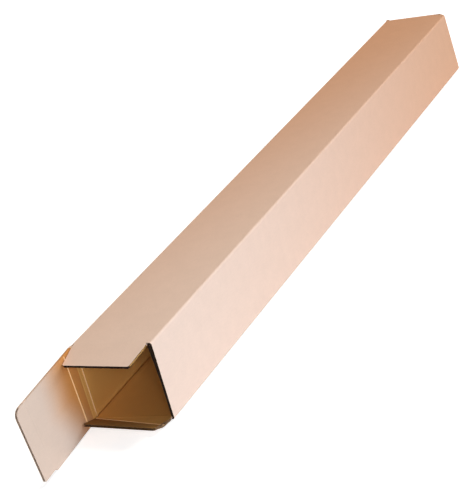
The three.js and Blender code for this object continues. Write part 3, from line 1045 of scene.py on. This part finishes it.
def make_tongue():
    foot, head = TONGUE_FOOT * TONGUE_STRETCH, TUBE_HEIGHT * TONGUE_STRETCH
    root_rise, tip_rise = CREASE_REACH * TONGUE_SLOPE, TONGUE_LENGTH * TONGUE_SLOPE
    tongue = Stack(tongue_frame())
    board(tongue, outline([
        (CREASE_REACH, foot + root_rise),
        (TONGUE_LENGTH, foot + tip_rise, TONGUE_FOOT_ROUND),
        (TONGUE_LENGTH, head + tip_rise, TONGUE_TOP_ROUND),
        (CREASE_REACH, head + root_rise),
    ]))
    return tongue.piece("mouth_tongue_board", LID_PAPERS)


def make_tongue_crease():
    strip = Stack(tongue_frame())
    crease(strip, TONGUE_FOOT * TONGUE_STRETCH, TUBE_HEIGHT * TONGUE_STRETCH, 0,
           bead=TONGUE_PRESS, groove=TONGUE_PRESS, slant=TONGUE_SLOPE)
    piece = strip.piece("tongue_crease", LID_PAPERS, sharp=CREASE_SHARP)
    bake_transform(piece)


def make_end_flap(name, fold, over):
    corners = [
        (CREASE_REACH, FLAP_FROM),
        (END_FLAP_LENGTH, FLAP_FROM + FLAP_LEAN, FLAP_ROUND),
        (END_FLAP_LENGTH, END_FLAP_TO - END_FLAP_TAPER, FLAP_ROUND),
        (CREASE_REACH, END_FLAP_TO),
    ]
    start, end = FLAP_FROM, END_FLAP_TO
    if over:
        corners = turned_over(corners)
        start, end = TUBE_WIDTH - END_FLAP_TO, TUBE_WIDTH - FLAP_FROM
    flap = Stack(fold.turned(CLOSED), knocked)
    board(flap, outline(corners))
    flap.place = fold.matrix
    crease(flap, start, end, CLOSED, bead=0.0, groove=0.0)
    return flap.piece(name, BOARD_PAPERS)


def make_end_lid():
    low, high = END_LID_DROP, TUBE_HEIGHT - FIT_GAP
    foot, head = END_TONGUE_MARGIN, TUBE_HEIGHT - END_TONGUE_MARGIN
    closed = END_LID_FOLD.turned(CLOSED)
    lid = Stack(closed, knocked)
    reach = END_LID_PANEL - CREASE_REACH
    board(lid, outline([(CREASE_REACH, low), (reach, low), (reach, high), (CREASE_REACH, high)]),
          columns=16)
    turn = CLOSED + END_TONGUE_LEAN
    tongue_fold = closed @ Matrix.Translation((END_LID_PANEL, 0, 0))
    lid.place = tongue_fold
    crease(lid, foot, head, turn, bead=0.0, groove=0.0)
    lid.place = tongue_fold @ Matrix.Rotation(math.radians(turn), 4, "Y")
    board(lid, outline([
        (CREASE_REACH, foot), (END_TONGUE_LENGTH, foot, TONGUE_TOP_ROUND),
        (END_TONGUE_LENGTH, head, TONGUE_TOP_ROUND), (CREASE_REACH, head),
    ]))
    return lid.piece("end_lid_board", BOARD_PAPERS)


# The part

sleeve = make_sleeve()
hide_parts("sleeve")
for piece in (
    sleeve,
    make_seam_tab(),
    make_wall_ridge(),
    make_end_flap("end_top_flap", END_TOP_FOLD, over=True),
    make_end_flap("end_bottom_flap", END_BOTTOM_FOLD, over=False),
):
    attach(piece, "sleeve")

for piece, body in (
    (make_mouth_lid(), "mouth_lid"),
    (make_tongue(), "mouth_tongue"),
    (make_top_flap(), "mouth_top_flap"),
    (make_bottom_flap(), "mouth_bottom_flap"),
    (make_end_lid(), "end_lid"),
):
    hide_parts(body)
    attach(piece, body)

make_crease("top_flap_crease", MOUTH_TOP_FOLD, FLAP_FROM, TOP_FLAP_TO, TOP_FLAP_DROOP)
make_crease("bottom_flap_crease", MOUTH_BOTTOM_FOLD, TUBE_WIDTH - FLAP_TO,
            TUBE_WIDTH - FLAP_FROM, 0)
make_crease("mouth_lid_crease", MOUTH_LID_FOLD, LID_FOOT, TUBE_HEIGHT - FIT_GAP, LID_LEAN)
make_crease("end_lid_crease", END_LID_FOLD, FIT_GAP, TUBE_HEIGHT - FIT_GAP, CLOSED)
make_tongue_crease()


# Floor, lights and camera

# The camera's place in metres, and how far it is turned about x, y and z in degrees
CAMERA_PLACE = (1.9355, 0.9898, 0.8340)
CAMERA_TURN = (67.767, 14.691, 114.204)
LENS = 121.48
SENSOR_WIDTH = 36

LAMP_DISTANCE = 8.0
LAMP_AIM = Vector((0.25, 0, 0.05))
KEY_TOWARDS = Vector((-0.18, 0.98, 0.10)).normalized()
KEY_SIZE = (6.0, 1.2)
KEY_POWER = 322
KEY_TINT = (0.90, 1.11, 1.37)
TOP_TOWARDS = Vector((-0.4, 0.1, 1.0)).normalized()
TOP_SIZE = (3.0, 3.0)
TOP_POWER = 350
TOP_TINT = (1.08, 1.0, 0.9)
FRONT_TOWARDS = Vector((0.80, 0.47, 0.32)).normalized()
FRONT_SIZE = (3.0, 3.0)
FRONT_POWER = 260
FRONT_TINT = (1.0, 1.0, 1.0)
AMBIENT = 0.14

FLOOR_SIZE = 30
FLOOR_DROP = 0.0004
FLOOR_COLOUR = (0.8, 0.8, 0.8, 1)
FLOOR_ROUGHNESS = 0.9
FLOOR_GLOSS = 0.1
FLOOR_GLOW = 0.62


def make_camera():
    data = bpy.data.cameras.new("camera")
    data.sensor_width = SENSOR_WIDTH
    data.lens = LENS
    camera = bpy.data.objects.new("camera", data)
    turn = Euler([math.radians(angle) for angle in CAMERA_TURN])
    camera.matrix_world = Matrix.LocRotScale(Vector(CAMERA_PLACE), turn, None)
    bpy.context.scene.collection.objects.link(camera)
    bpy.context.scene.camera = camera


def make_lamp(name, towards, size, power, tint):
    data = bpy.data.lights.new(name, "AREA")
    data.shape = "RECTANGLE"
    data.size, data.size_y = size
    data.energy = power
    data.color = tint
    lamp = bpy.data.objects.new(name, data)
    lamp.location = LAMP_AIM + towards * LAMP_DISTANCE
    lamp.rotation_mode = "QUATERNION"
    lamp.rotation_quaternion = (-towards).to_track_quat("-Z", "Y")
    bpy.context.scene.collection.objects.link(lamp)


def camera_sees(tree):
    """1 where the camera, a reflection or clear stuff looks, 0 for light on the object."""
    path = tree.node("ShaderNodeLightPath")
    seen = tree.math("MAXIMUM", path.outputs["Is Camera Ray"], path.outputs["Is Glossy Ray"])
    return tree.math("MAXIMUM", seen, path.outputs["Is Transmission Ray"])


def make_world():
    world = bpy.data.worlds.new("studio")
    world.use_nodes = True
    tree = Tree(world.node_tree)
    back = world.node_tree.nodes["Background"]
    back.inputs["Color"].default_value = (1, 1, 1, 1)
    level = tree.math("ADD", tree.math("MULTIPLY", camera_sees(tree), 1 - AMBIENT), AMBIENT)
    tree.link(level, back.inputs["Strength"])
    bpy.context.scene.world = world


def make_floor():
    """A plain pale floor: white to the camera, with the object's shadow kept."""
    half = FLOOR_SIZE / 2
    mesh = bpy.data.meshes.new("floor")
    mesh.from_pydata([(-half, -half, 0), (half, -half, 0), (half, half, 0), (-half, half, 0)],
                     [], [(0, 1, 2, 3)])
    floor = bpy.data.objects.new("floor", mesh)
    floor.location.z = -FLOOR_DROP
    bpy.context.scene.collection.objects.link(floor)
    material = bpy.data.materials.new("pale_floor")
    material.use_nodes = True
    tree = Tree(material.node_tree)
    nodes = material.node_tree.nodes
    shader = nodes["Principled BSDF"]
    shader.inputs["Base Color"].default_value = FLOOR_COLOUR
    shader.inputs["Roughness"].default_value = FLOOR_ROUGHNESS
    shader.inputs["Specular IOR Level"].default_value = FLOOR_GLOSS
    glow = tree.node("ShaderNodeEmission")
    tree.link(tree.math("MULTIPLY", camera_sees(tree), FLOOR_GLOW), glow.inputs["Strength"])
    both = tree.node("ShaderNodeAddShader")
    tree.link(shader.outputs[0], both.inputs[0])
    tree.link(glow.outputs[0], both.inputs[1])
    tree.link(both.outputs[0], nodes["Material Output"].inputs["Surface"])
    mesh.materials.append(material)


make_camera()
make_lamp("key_lamp", KEY_TOWARDS, KEY_SIZE, KEY_POWER, KEY_TINT)
make_lamp("top_lamp", TOP_TOWARDS, TOP_SIZE, TOP_POWER, TOP_TINT)
make_lamp("front_lamp", FRONT_TOWARDS, FRONT_SIZE, FRONT_POWER, FRONT_TINT)
make_world()
make_floor()
bpy.context.scene.view_settings.view_transform = "Standard"
